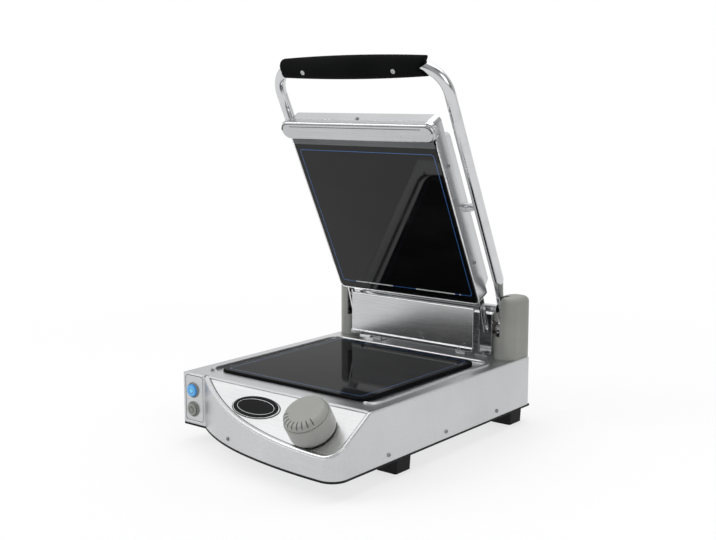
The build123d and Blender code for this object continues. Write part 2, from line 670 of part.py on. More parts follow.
def make_lid():
    """Upper plate: band, cover, glass, seal, front bar and fittings."""
    front = lid_y(LID_LENGTH)
    rear = LID_REAR_Y
    z0 = lid_z(1.0)
    z1 = lid_z(LID_BAND)
    band = rounded_slab(-LID_HALF_X, LID_HALF_X, front, rear, LID_CORNER_R, z0, z1)
    band = fillet(band.edges().group_by(Axis.Z)[-1], 2.0)
    band -= rounded_slab(
        -LID_HALF_X + SHEET, LID_HALF_X - SHEET, front + SHEET, rear - SHEET, LID_CORNER_R - SHEET, z0 - 1, z1 - SHEET
    )
    band -= block(-LID_HALF_X - 1, LID_HALF_X + 1, front - 1, lid_y(LID_GLASS_LENGTH + 1), z0 - 1, lid_z(3.5))
    hole = LID_COVER_HALF_X - 10
    band -= rounded_slab(-hole, hole, front + 32, rear - 12, 8, z0, z1 + 5)
    for side in (-1, 1):
        for u in (64.7, 219.4):
            band -= Pos(side * LID_HALF_X, lid_y(u), lid_z(13)) * Rot(0, 90, 0) * Cylinder(1.7, 8)
    band -= pivot_rod(-200, 200, LUG_R)
    keep("lid_casing", swing_open(band))

    cover_front = lid_y(262)
    cover_rear = lid_y(6)
    top = lid_z(LID_COVER_TOP)
    lower = Pos(0, (cover_front + cover_rear) / 2, z1) * RectangleRounded(
        2 * LID_COVER_HALF_X, cover_rear - cover_front, 8
    )
    upper = Pos(0, (cover_front + cover_rear) / 2, top) * RectangleRounded(
        2 * LID_COVER_HALF_X - 6, cover_rear - cover_front - 14, 7
    )
    shell = loft([lower, upper])
    shell = fillet(shell.edges().group_by(Axis.Z)[-1], 2)
    low_in = Pos(0, (cover_front + cover_rear) / 2, z1 - 0.01) * RectangleRounded(
        2 * LID_COVER_HALF_X - 2.4, cover_rear - cover_front - 2.4, 7
    )
    up_in = Pos(0, (cover_front + cover_rear) / 2, top - SHEET) * RectangleRounded(
        2 * LID_COVER_HALF_X - 8.4, cover_rear - cover_front - 16.4, 6
    )
    shell -= loft([low_in, up_in])
    shell -= pivot_rod(-200, 200, LUG_R)
    keep("lid_cover", swing_open(shell))

    glass_front = lid_y(LID_GLASS_LENGTH)
    glass = rounded_slab(-125.8, 125.8, glass_front, lid_y(3.2), 8, lid_z(0), lid_z(4))
    glass = chamfer(glass.edges().group_by(Axis.Z)[0], 0.8)
    keep("upper_glass", swing_open(glass))
    inner_x = LID_HALF_X - SHEET
    corner = LID_CORNER_R - SHEET
    seal = rounded_slab(-inner_x, inner_x, glass_front, lid_y(SHEET), corner, lid_z(0.6), lid_z(3.6))
    seal += rounded_slab(-125.0, 125.0, glass_front + 3, lid_y(3), 8, lid_z(3.5), lid_z(5.5))
    seal -= rounded_slab(-125.8, 125.8, glass_front - 5, lid_y(3.2), 8, lid_z(-1), lid_z(4))
    seal -= rounded_slab(-117.0, 117.0, glass_front + 8, lid_y(11), 6, lid_z(-1), lid_z(9))
    keep("upper_seal", swing_open(seal))
    back = 4.0 + DISH_H
    make_heater("upper", lid_z(back), -1, LID_COVER_TOP - SHEET - back)

    bar_half = 135.0
    bar_mid = lid_y(277.5)
    bar = Pos(0, bar_mid, lid_z(-8)) * SlotOverall(2 * bar_half, 27)
    bar = solid(bar, 11.4)
    bar = fillet(bar.edges().group_by(Axis.Z)[0], 3.0)
    keep("front_bar", swing_open(bar))

    lug = pivot_rod(LID_COVER_HALF_X - 12, LID_HALF_X + 6, LUG_R) - pivot_rod(100, 160, PIVOT_R + RUNNING)
    pin = pivot_rod(LID_COVER_HALF_X - 9, ARM_X + 2, PIVOT_R)
    keep("pivot_lug_right", swing_open(lug))
    keep("pivot_lug_left", swing_open(mirrored(lug)))
    keep("pivot_pin_right", swing_open(pin))
    keep("pivot_pin_left", swing_open(mirrored(pin)))

    strap = guide_strap()
    keep("guide_strap_right", swing_open(strap))
    keep("guide_strap_left", swing_open(mirrored(strap)))

    screws = Part()
    for side in (-1, 1):
        for u in (64.7, 219.4):
            screws += Pos(side * LID_HALF_X, lid_y(u), lid_z(13)) * Rot(0, 90 * side, 0) * screw_head(2.8, 1.4)
    screws += Pos(0, front, lid_z(7.5)) * Rot(90, 0, 0) * screw_head(2.8, 1.4)
    keep("lid_screws", swing_open(screws))


def pivot_rod(x0, x1, radius):
    """A rod on the plate pivot axis, with the lid drawn closed."""
    return rod_x(x0, x1, lid_y(PIVOT_U), lid_z(PIVOT_V), radius)


def guide_strap():
    """Slotted strap welded to the lid's rear wall, drawn closed."""
    thick = 2.5
    plane = Plane.YZ.offset(STRAP_X) * Pos(LID_REAR_Y + 22, lid_z(10)) * Rot(0, 0, -9)
    strap = solid(plane * SlotOverall(60, 12), thick)
    strap &= block(0, 200, LID_REAR_Y, LID_REAR_Y + 80, 90, 150)
    strap -= solid(plane * Pos(6, 0) * SlotOverall(32, 3.4), thick)
    foot = block(STRAP_X - 5, STRAP_X + thick, LID_REAR_Y, LID_REAR_Y + 1.5, lid_z(7), lid_z(19))
    return strap + foot


def make_casing_screws():
    """Cross-head screws round the foot of the casing."""
    screws = Part()
    for x, y in screw_points_side():
        side = 1 if x > 0 else -1
        screws += Pos(x, y, SCREW_Z) * Rot(0, 90 * side, 0) * screw_head(2.8, 1.4)
    arc = bow_arcs()[1]
    spot = arc @ FRONT_SCREW_T
    along = arc % FRONT_SCREW_T
    face = Plane(origin=(spot.X, spot.Y, SCREW_Z), z_dir=(-along.Y, along.X, 0))
    if face.z_dir.Y > 0:
        face = Plane(origin=(spot.X, spot.Y, SCREW_Z), z_dir=(along.Y, -along.X, 0))
    screws += face.location * screw_head(2.8, 1.4)
    keep("casing_screws", screws)


make_base()
make_cooking_glass()
make_splash_panel()
make_hinge()
make_controls()
make_arms()
make_lid()
make_casing_screws()

os.makedirs("parts", exist_ok=True)
for node, shape in PARTS.items():
    export_step(shape, "parts/" + node + ".step")
print(len(PARTS), "nodes")
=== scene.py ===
"""Contact grill with its lid up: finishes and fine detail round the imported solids."""

import logging
import math
from dataclasses import dataclass, field
from enum import Enum
from typing import Any, Iterable, Sequence

import bmesh
import bpy
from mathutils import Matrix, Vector


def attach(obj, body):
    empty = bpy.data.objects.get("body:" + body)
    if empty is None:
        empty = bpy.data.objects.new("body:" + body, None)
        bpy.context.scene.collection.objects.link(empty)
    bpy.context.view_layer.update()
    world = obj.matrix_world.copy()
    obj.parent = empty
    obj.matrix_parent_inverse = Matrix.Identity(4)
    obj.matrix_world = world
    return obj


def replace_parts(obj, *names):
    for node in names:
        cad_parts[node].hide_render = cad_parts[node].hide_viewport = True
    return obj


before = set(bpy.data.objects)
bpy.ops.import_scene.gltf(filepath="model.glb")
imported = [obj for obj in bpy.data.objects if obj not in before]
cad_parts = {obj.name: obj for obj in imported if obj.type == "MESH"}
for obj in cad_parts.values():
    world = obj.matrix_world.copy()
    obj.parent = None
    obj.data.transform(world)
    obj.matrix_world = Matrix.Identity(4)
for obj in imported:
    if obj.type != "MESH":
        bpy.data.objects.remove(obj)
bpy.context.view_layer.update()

LOG = logging.getLogger("contact_grill")
MM = 0.001
HINGE_Y = 196.6
HINGE_Z = 138.35
OPEN_DEG = 64.0
LID_REAR_Y = 133.0
LID_FACE_Z = 106.4
CREASE_Y = -157.0
DECK_Z = 98.0
SLOPE = math.radians(32.2)
BUTTON_WALL_Y = -161.5
FORWARD = Vector((0, -1, 0))


def lid_point(x: float, u: float, v: float) -> Vector:
    """Place a point of the open lid.

    Args:
        x: Distance right of the middle, in millimetres.
        u: Distance forward of the lid's rear face, in millimetres.
        v: Distance outward from the lid's glass face, in millimetres.

    Returns:
        The point in metres in the shared frame.
    """
    angle = math.radians(-OPEN_DEG)
    dy = LID_REAR_Y - u - HINGE_Y
    dz = LID_FACE_Z + v - HINGE_Z
    y = HINGE_Y + dy * math.cos(angle) - dz * math.sin(angle)
    z = HINGE_Z + dy * math.sin(angle) + dz * math.cos(angle)
    return Vector((x, y, z)) * MM


def panel_point(x: float, s: float, lift: float) -> Vector:
    """Place a point of the sloped control panel.

    Args:
        x: Distance right of the middle, in millimetres.
        s: Distance down the slope from the crease, in millimetres.
        lift: Height above the sloped face, in millimetres.

    Returns:
        The point in metres in the shared frame.
    """
    y = CREASE_Y - s * math.cos(SLOPE) - lift * math.sin(SLOPE)
    z = DECK_Z - s * math.sin(SLOPE) + lift * math.cos(SLOPE)
    return Vector((x, y, z)) * MM


def level_point(x: float, y: float, z: float) -> Vector:
    """Place a point given in millimetres in the shared frame."""
    return Vector((x, y, z)) * MM


class Side(Enum):
    """Side of the grill, as the sign of x."""

    LEFT = -1
    RIGHT = 1


class Sock:
    """A shader value that takes part in Python arithmetic."""

    def __init__(self, graph: "NodeGraph", socket: bpy.types.NodeSocket) -> None:
        """Keep the graph and the socket."""
        self.graph = graph
        self.socket = socket

    def _math(self, operation: str, first: Any, second: Any) -> "Sock":
        """Add one Math node.

        Args:
            operation: The Math node's operation.
            first: A number or a value.
            second: A number or a value.

        Returns:
            The node's result.
        """
        node = self.graph.add("ShaderNodeMath", {"operation": operation}, {0: first, 1: second})
        return Sock(self.graph, node.outputs[0])

    def __add__(self, other: Any) -> "Sock":
        """Sum."""
        return self._math("ADD", self, other)

    __radd__ = __add__

    def __sub__(self, other: Any) -> "Sock":
        """Difference."""
        return self._math("SUBTRACT", self, other)

    def __rsub__(self, other: Any) -> "Sock":
        """Difference from a number."""
        return self._math("SUBTRACT", other, self)

    def __mul__(self, other: Any) -> "Sock":
        """Product."""
        return self._math("MULTIPLY", self, other)

    __rmul__ = __mul__

    def larger(self, other: Any) -> "Sock":
        """The larger of two values."""
        return self._math("MAXIMUM", self, other)

    def step(self, low: float, high: float) -> "Sock":
        """Rise smoothly from 0 at low to 1 at high.

        Args:
            low: Value that gives 0.
            high: Value that gives 1.

        Returns:
            The smoothed value.
        """
        settings = {"interpolation_type": "SMOOTHSTEP"}
        sockets = {0: self, 1: low, 2: high, 3: 0.0, 4: 1.0}
        node = self.graph.add("ShaderNodeMapRange", settings, sockets)
        return Sock(self.graph, node.outputs[0])


class NodeGraph:
    """Node tree of one material or of the world."""

    def __init__(self, tree: bpy.types.NodeTree) -> None:
        """Start from an empty tree."""
        self.tree = tree
        tree.nodes.clear()

    def add(
        self, kind: str, settings: dict[str, Any] | None = None, sockets: dict[Any, Any] | None = None
    ) -> Any:
        """Add any node.

        Args:
            kind: The node's type.
            settings: Attributes of the node, set first.
            sockets: Values or links of its inputs, by index or name.

        Returns:
            The node.
        """
        node = self.tree.nodes.new(kind)
        for key, value in (settings or {}).items():
            setattr(node, key, value)
        for key, value in (sockets or {}).items():
            if isinstance(value, Sock):
                self.tree.links.new(value.socket, node.inputs[key])
            elif isinstance(value, bpy.types.NodeSocket):
                self.tree.links.new(value, node.inputs[key])
            else:
                node.inputs[key].default_value = value
        return node

    def place(self) -> Any:
        """Socket of the point in the shared frame, in metres."""
        return self.add("ShaderNodeTexCoord").outputs["Object"]

    def stretched(self, scale: Sequence[float], tilt: float = 0.0) -> Any:
        """Point scaled along each axis, after a turn about X.

        Args:
            scale: Factor along X, Y and Z.
            tilt: Turn about X in degrees.

        Returns:
            The vector socket.
        """
        point = self.place()
        if tilt:
            turn = {0: point, "Angle": math.radians(tilt)}
            point = self.add("ShaderNodeVectorRotate", {"rotation_type": "X_AXIS"}, turn).outputs[0]
        sockets = {0: point, 1: tuple(scale)}
        return self.add("ShaderNodeVectorMath", {"operation": "MULTIPLY"}, sockets).outputs[0]

    def noise(self, vector: Any, scale: float, detail: float = 3.0, rough: float = 0.5) -> Sock:
        """Noise between 0 and 1.

        Args:
            vector: Where it is read.
            scale: Features per unit.
            detail: Number of finer layers.
            rough: Weight of the finer layers.

        Returns:
            The noise value.
        """
        sockets = {"Vector": vector, "Scale": scale, "Detail": detail, "Roughness": rough}
        return Sock(self, self.add("ShaderNodeTexNoise", None, sockets).outputs[0])

    def blend(self, factor: Sock, low: Sequence[float], high: Any) -> Any:
        """Mix two colours.

        Args:
            factor: 0 for the first, 1 for the second.
            low: First colour, or a socket.
            high: Second colour, or a socket.

        Returns:
            The colour socket.
        """
        first = (*low, 1.0) if isinstance(low, tuple) else low
        second = (*high, 1.0) if isinstance(high, tuple) else high
        return self.add("ShaderNodeMix", {"data_type": "RGBA"}, {0: factor, 6: first, 7: second}).outputs[2]

    def soft_edges(self, radius: float) -> Any:
        """Normal rounded over sharp edges.

        Args:
            radius: Edge radius in metres.

        Returns:
            The normal socket.
        """
        return self.add("ShaderNodeBevel", {"samples": 6}, {"Radius": radius}).outputs[0]

    def relief(self, height: Sock, strength: float, distance: float, normal: Any) -> Any:
        """Bump from a height value.

        Args:
            height: The height, 0 to 1.
            strength: How strong it is.
            distance: Height of 1, in metres.
            normal: Normal it starts from.

        Returns:
            The normal socket.
        """
        sockets = {"Height": height, "Strength": strength, "Distance": distance, "Normal": normal}
        return self.add("ShaderNodeBump", None, sockets).outputs[0]

    def surface(self, sockets: dict[str, Any]) -> None:
        """End the material in one Principled shader."""
        shader = self.add("ShaderNodeBsdfPrincipled", None, sockets)
        self.add("ShaderNodeOutputMaterial", None, {"Surface": shader.outputs[0]})


@dataclass(frozen=True)
class Finish:
    """Base of every finish."""

    name: str

    def paint(self, graph: NodeGraph) -> None:
        """Build the shader; each finish has its own.

        Args:
            graph: The material's empty node tree.
        """
        raise NotImplementedError

    def material(self) -> bpy.types.Material:
        """Make the finish's material, or find it if it is there.

        Its name differs from every material of the frame, which are plain colours.

        Returns:
            The material.
        """
        title = self.name + "_finish"
        found = bpy.data.materials.get(title)
        if found is None:
            found = bpy.data.materials.new(title)
            found.use_nodes = True
            self.paint(NodeGraph(found.node_tree))
        return found


@dataclass(frozen=True)
class BrushedSteel(Finish):
    """Satin stainless sheet with fine grain and faint handling marks."""

    grain: tuple[float, float, float] = (14.0, 900.0, 900.0)
    dark: tuple[float, float, float] = (0.56, 0.565, 0.575)
    light: tuple[float, float, float] = (0.70, 0.705, 0.715)
    rough: float = 0.30
    tilt: float = 0.0
    edge: float = 0.0012

    def paint(self, graph: NodeGraph) -> None:
        """Grain lines over slow cloudy variation.

        Args:
            graph: The material's empty node tree.
        """
        lines = graph.noise(graph.stretched(self.grain, self.tilt), 1.0, 4.0, 0.6)
        cloud = graph.noise(graph.place(), 9.0, 3.0)
        marks = graph.noise(graph.place(), 60.0, 5.0, 0.7).step(0.55, 0.75)
        tone = lines.step(0.25, 0.75) * 0.6 + cloud.step(0.3, 0.7) * 0.4
        roughness = lines * 0.10 + marks * 0.06 + cloud * 0.05 + (self.rough - 0.10)
        normal = graph.relief(lines, 0.10, 0.0002, graph.soft_edges(self.edge))
        graph.surface(
            {
                "Base Color": graph.blend(tone, self.dark, self.light),
                "Metallic": 1.0,
                "Roughness": roughness,
                "Normal": normal,
            }
        )


@dataclass(frozen=True)
class PolishedSteel(Finish):
    """Mirror-like stainless with slight waviness and smudges."""

    colour: tuple[float, float, float] = (0.72, 0.725, 0.735)
    rough: float = 0.10
    wave: float = 0.10
    edge: float = 0.0010

    def paint(self, graph: NodeGraph) -> None:
        """Slow waves in the sheet, with smudges in the gloss.

        Args:
            graph: The material's empty node tree.
        """
        waves = graph.noise(graph.place(), 18.0, 2.0)
        smudge = graph.noise(graph.place(), 45.0, 5.0, 0.65).step(0.45, 0.8)
        dim = tuple(0.82 * part for part in self.colour)
        normal = graph.relief(waves, self.wave, 0.004, graph.soft_edges(self.edge))
        graph.surface(
            {
                "Base Color": graph.blend(smudge * 0.5 + waves * 0.3, self.colour, dim),
                "Metallic": 1.0,
                "Roughness": smudge * 0.10 + waves * 0.04 + self.rough,
                "Normal": normal,
            }
        )


@dataclass(frozen=True)
class DarkGlass(Finish):
    """Polished dark cooking glass with wiped smears."""

    colour: tuple[float, float, float] = (0.008, 0.008, 0.009)
    haze: tuple[float, float, float] = (0.018, 0.019, 0.021)
    gloss: float = 0.012

    def paint(self, graph: NodeGraph) -> None:
        """Nearly black body, faint wiping arcs in the gloss.

        Args:
            graph: The material's empty node tree.
        """
        wipe = graph.noise(graph.stretched((8.0, 30.0, 30.0)), 1.0, 4.0, 0.6).step(0.4, 0.8)
        dust = graph.noise(graph.place(), 900.0, 2.0).step(0.68, 0.75)
        graph.surface(
            {
                "Base Color": graph.blend(wipe * 0.6 + dust * 0.3, self.colour, self.haze),
                "Roughness": wipe * 0.05 + dust * 0.05 + 0.03,
                "Specular IOR Level": self.gloss,
                "Normal": graph.soft_edges(0.0008),
            }
        )


@dataclass(frozen=True)
class Moulded(Finish):
    """Moulded plastic or rubber with a fine eroded texture."""

    colour: tuple[float, float, float] = (0.30, 0.305, 0.285)
    rough: float = 0.45
    pit: float = 1500.0
    depth: float = 0.12
    edge: float = 0.0012
    gloss: float = 0.5

    def paint(self, graph: NodeGraph) -> None:
        """Fine pits, slow colour drift and rubbed patches.

        Args:
            graph: The material's empty node tree.
        """
        pits = graph.noise(graph.place(), self.pit, 2.0, 0.6)
        drift = graph.noise(graph.place(), 14.0, 3.0)
        rub = graph.noise(graph.place(), 70.0, 4.0, 0.7).step(0.55, 0.8)
        lighter = tuple(min(1.0, 1.14 * part + 0.002) for part in self.colour)
        darker = tuple(0.88 * part for part in self.colour)
        tone = drift.step(0.3, 0.7) * 0.7 + pits * 0.3
        if self.edge:
            start = graph.soft_edges(self.edge)
        else:
            start = graph.add("ShaderNodeNewGeometry").outputs["Normal"]
        graph.surface(
            {
                "Base Color": graph.blend(tone, darker, lighter),
                "Roughness": pits * 0.10 + (self.rough - 0.05) - rub * 0.08,
                "Specular IOR Level": self.gloss,
                "Normal": graph.relief(pits, self.depth, 0.0002, start),
            }
        )


@dataclass(frozen=True)
class PaintedGlowLens(Finish):
    """Glossy blue push-button lens with a painted glow: a lighter middle and a weak emission."""

    centre: tuple[float, float, float] = (-147.0, -165.0, 74.0)
    colour: tuple[float, float, float] = (0.03, 0.20, 0.52)
    glow_core: tuple[float, float, float] = (0.16, 0.55, 0.88)

    def paint(self, graph: NodeGraph) -> None:
        """Painted glow: a light middle fading to a deeper rim, also fed to a weak emission.

        Args:
            graph: The material's empty node tree.
        """
        middle = tuple(MM * part for part in self.centre)
        gap = graph.add("ShaderNodeVectorMath", {"operation": "DISTANCE"}, {0: graph.place(), 1: middle})
        fade = Sock(graph, gap.outputs["Value"]).step(0.002, 0.009)
        cloud = graph.noise(graph.place(), 300.0, 3.0)
        # painted glow: lighter towards the middle, and the same colour emits light
        colour = graph.blend(fade * 0.8 + cloud * 0.2, self.glow_core, self.colour)
        graph.surface(
            {
                "Base Color": colour,
                "Emission Color": colour,
                "Emission Strength": 0.25,
                "Roughness": cloud * 0.08 + 0.18,
                "Normal": graph.soft_edges(0.0008),
            }
        )


@dataclass(frozen=True)
class SpeckledBoard(Finish):
    """Pressed fibre insulation."""

    def paint(self, graph: NodeGraph) -> None:
        """Pale fibres with darker specks.

        Args:
            graph: The material's empty node tree.
        """
        fibre = graph.noise(graph.stretched((300.0, 900.0, 900.0)), 1.0, 5.0, 0.7)
        speck = graph.noise(graph.place(), 700.0, 2.0).step(0.62, 0.72)
        graph.surface(
            {
                "Base Color": graph.blend(fibre - speck * 0.4, (0.52, 0.48, 0.42), (0.80, 0.77, 0.71)),
                "Roughness": fibre * 0.1 + 0.85,
                "Normal": graph.relief(fibre, 0.5, 0.0004, graph.soft_edges(0.0005)),
            }
        )


SATIN = BrushedSteel("satin_steel")
SATIN_WALL = BrushedSteel(
    "satin_steel_wall", rough=0.36, dark=(0.50, 0.505, 0.515), light=(0.62, 0.625, 0.635)
)
# Lighter copy of the brushed steel: painted light on the sloped control panel.
SATIN_PANEL_LIT = BrushedSteel(
    "satin_steel_panel_lit", rough=0.26, dark=(0.74, 0.745, 0.75), light=(0.86, 0.865, 0.87)
)
SATIN_LID = BrushedSteel(
    "satin_steel_lid", tilt=OPEN_DEG, rough=0.24, dark=(0.51, 0.515, 0.525), light=(0.63, 0.635, 0.645)
)
SATIN_BAR = BrushedSteel(
    "satin_steel_bar", tilt=OPEN_DEG, rough=0.28, dark=(0.45, 0.455, 0.465), light=(0.56, 0.565, 0.575)
)
RIM = PolishedSteel("badge_rim_steel", colour=(0.86, 0.865, 0.87), rough=0.36, wave=0.0, edge=0.0004)
# Dark metal finish for the painted sheen on the upper glass below the front bar.
GLASS_SHEEN = BrushedSteel(
    "glass_top_painted_sheen", rough=0.36, dark=(0.09, 0.092, 0.095), light=(0.15, 0.152, 0.155), edge=0.0002
)
TUBE = PolishedSteel("polished_tube", colour=(0.63, 0.635, 0.645), rough=0.09)
SATIN_SPLASH = BrushedSteel(
    "satin_steel_splash", rough=0.24, dark=(0.46, 0.465, 0.47), light=(0.60, 0.605, 0.61)
)
CHROME = PolishedSteel("polished_steel")
SCREW = BrushedSteel(
    "screw_steel", rough=0.34, dark=(0.34, 0.345, 0.35), light=(0.52, 0.525, 0.53), edge=0.0003
)
# Darker copy of the screw steel: painted shade on the casing, splash and lid screws.
SCREW_SHADED = BrushedSteel(
    "shaded_screw", rough=0.42, dark=(0.20, 0.20, 0.205), light=(0.38, 0.38, 0.39), edge=0.0003
)
LIP = PolishedSteel("lip_steel", colour=(0.66, 0.665, 0.675), rough=0.24, wave=0.02, edge=0.0006)
SPRING = BrushedSteel(
    "spring_steel", rough=0.40, dark=(0.18, 0.18, 0.19), light=(0.32, 0.32, 0.33), edge=0.0003
)
BRONZE = BrushedSteel(
    "bronze_bush", rough=0.42, dark=(0.13, 0.12, 0.11), light=(0.24, 0.22, 0.19), edge=0.0004
)
RIBBON = BrushedSteel(
    "element_ribbon", rough=0.50, dark=(0.16, 0.13, 0.11), light=(0.34, 0.28, 0.24), edge=0.0003
)
GLASS_LOW = DarkGlass("lower_cooking_glass")
GLASS_UP = DarkGlass(
    "upper_cooking_glass", colour=(0.003, 0.003, 0.003), haze=(0.008, 0.008, 0.008), gloss=0.28
)
WARM_GREY = Moulded("warm_grey_plastic", colour=(0.262, 0.267, 0.248), gloss=0.35)
KNOB_GREY = Moulded("knob_grey_plastic", colour=(0.315, 0.32, 0.30), rough=0.42)
BLACK = Moulded("black_plastic", colour=(0.005, 0.0052, 0.0052), rough=0.72, depth=0.2, gloss=0.02)
BADGE = Moulded(
    "badge_enamel", colour=(0.008, 0.008, 0.009), rough=0.20, depth=0.03, edge=0.0004, gloss=0.06
)
RUBBER = Moulded("black_rubber", colour=(0.010, 0.010, 0.011), rough=0.62, depth=0.25, gloss=0.15)
SEAL = Moulded("black_silicone", colour=(0.003, 0.003, 0.0035), rough=0.55, depth=0.06, gloss=0.04)
# Dark finish for printed marks and seams, also laid as painted shade lines inside the rolled lip, round the
# badge and inside the button plate's border.
MARK_DARK_AND_SHADE = Moulded("dark_marking_and_shade", colour=(0.055, 0.058, 0.055), rough=0.5, edge=0.0)
MARK_BLUE = Moulded("blue_print", colour=(0.035, 0.12, 0.34), rough=0.2, depth=0.02, edge=0.0)
MARK_WHITE = Moulded("white_print", colour=(0.62, 0.66, 0.66), rough=0.3, depth=0.02, edge=0.0)
LENS = PaintedGlowLens("blue_button")
BOARD = SpeckledBoard("insulation_board")


@dataclass
class Piece:
    """Mesh of one new piece, collected strip by strip."""

    name: str
    body: str
    slot: str
    finish: Finish
    verts: list[Vector] = field(default_factory=list)
    faces: list[tuple[int, ...]] = field(default_factory=list)

    def strip(self, rails: Sequence[Sequence[Vector]], closed: bool = False) -> None:
        """Skin a row of cross sections.

        Args:
            rails: Cross sections in order, each a closed ring of points.
            closed: True if the last section meets the first, else the ends are filled.
        """
        start = len(self.verts)
        count = len(rails[0])
        for ring in rails:
            self.verts.extend(ring)
        last = len(rails) if closed else len(rails) - 1
        for step in range(last):
            here = start + step * count
            there = start + ((step + 1) % len(rails)) * count
            for corner in range(count):
                after = (corner + 1) % count
                self.faces.append((here + corner, here + after, there + after, there + corner))
        if not closed:
            self.faces.append(tuple(start + corner for corner in reversed(range(count))))
            end = start + (len(rails) - 1) * count
            self.faces.append(tuple(end + corner for corner in range(count)))

    def trace(
        self,
        points: Sequence[Vector],
        up: Vector,
        half: float,
        rise: float,
        closed: bool = False,
        count: int = 4,
    ) -> None:
        """Run a strip of one cross section along a path.

        Args:
            points: The path, in metres.
            up: Unit direction of the strip's height.
            half: Half width in millimetres.
            rise: Half height in millimetres.
            closed: True if the path is a loop.
            count: 4 for a flat strip, more for a rounded one.
        """
        rails = []
        for point, way in zip(points, along(points, closed)):
            rails.append(section(point, way.cross(up).normalized(), up, half, rise, count))
        self.strip(rails, closed)

    def make(self, smooth: bool = True, bevel: float = 0.0) -> bpy.types.Object:
        """Turn the collected faces into an object on its body.

        Args:
            smooth: True for smooth shading.
            bevel: Edge bevel in millimetres, 0 for none.

        Returns:
            The new object.
        """
        mesh = bpy.data.meshes.new(self.name)
        mesh.from_pydata([tuple(point) for point in self.verts], [], self.faces)
        work = bmesh.new()
        work.from_mesh(mesh)
        bmesh.ops.remove_doubles(work, verts=work.verts, dist=1e-6)
        bmesh.ops.recalc_face_normals(work, faces=work.faces)
        for face in work.faces:
            face.smooth = smooth
        work.to_mesh(mesh)
        work.free()
        mesh.materials.append(self.finish.material())
        made = bpy.data.objects.new(self.name, mesh)
        bpy.context.scene.collection.objects.link(made)
        if bevel:
            soft = made.modifiers.new("edge", "BEVEL")
            soft.width = bevel * MM
            soft.segments = 3
            soft.limit_method = "ANGLE"
            made.modifiers.new("normals", "WEIGHTED_NORMAL")
        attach(made, self.body)
        LOG.info("piece %s on %s, %d faces", self.name, self.body, len(mesh.polygons))
        return made


def section(
    centre: Vector, side: Vector, up: Vector, wide: float, tall: float, count: int = 4
) -> list[Vector]:
    """Points round a cross section.

    Args:
        centre: Middle of the section, in metres.
        side: Unit direction of its width.
        up: Unit direction of its height.
        wide: Half width in millimetres.
        tall: Half height in millimetres.
        count: 4 for a rectangle, more for an oval.

    Returns:
        The ring of points.
    """
    spokes = [(-1, -1), (1, -1), (1, 1), (-1, 1)]
    if count > 4:
        turns = [2 * math.pi * index / count for index in range(count)]
        spokes = [(math.cos(turn), math.sin(turn)) for turn in turns]
    return [centre + side * (wide * MM * a) + up * (tall * MM * b) for a, b in spokes]


def along(points: Sequence[Vector], closed: bool) -> list[Vector]:
    """Directions of travel along a path.

    Args:
        points: The path.
        closed: True if it is a loop.

    Returns:
        A unit direction for each point.
    """
    count = len(points)
    found = []
    for index in range(count):
        before = points[(index - 1) % count] if closed or index > 0 else points[index]
        after = points[(index + 1) % count] if closed or index < count - 1 else points[index]
        found.append((after - before).normalized())
    return found


def rounded_loop(
    half_x: float, low: float, high: float, radius: float, steps: int = 6
) -> list[tuple[float, float]]:
    """Flat rounded rectangle, symmetric in x.

    Args:
        half_x: Half width.
        low: Lowest second coordinate.
        high: Highest second coordinate.
        radius: Corner radius.
        steps: Points in each corner, less one.

    Returns:
        Pairs of coordinates in order.
    """
    corners = ((1, high, 0.0), (-1, high, 90.0), (-1, low, 180.0), (1, low, 270.0))
    loop = []
    for side, edge, start in corners:
        middle_x = side * (half_x - radius)
        middle_t = edge - radius if edge == high else edge + radius
        for step in range(steps + 1):
            angle = math.radians(start + 90.0 * step / steps)
            loop.append((middle_x + radius * math.cos(angle), middle_t + radius * math.sin(angle)))
    return loop


def dress(names: Iterable[str], finish: Finish) -> None:
    """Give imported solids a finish.

    Args:
        names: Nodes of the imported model.
        finish: The finish they share.
    """
    for name in names:
        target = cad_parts[name]
        target.data.materials.clear()
        target.data.materials.append(finish.material())
        LOG.info("node %s in %s", name, finish.name)


def both(stem: str) -> list[str]:
    """Names of a left and right pair."""
    return [stem + "_" + side.name.lower() for side in Side]


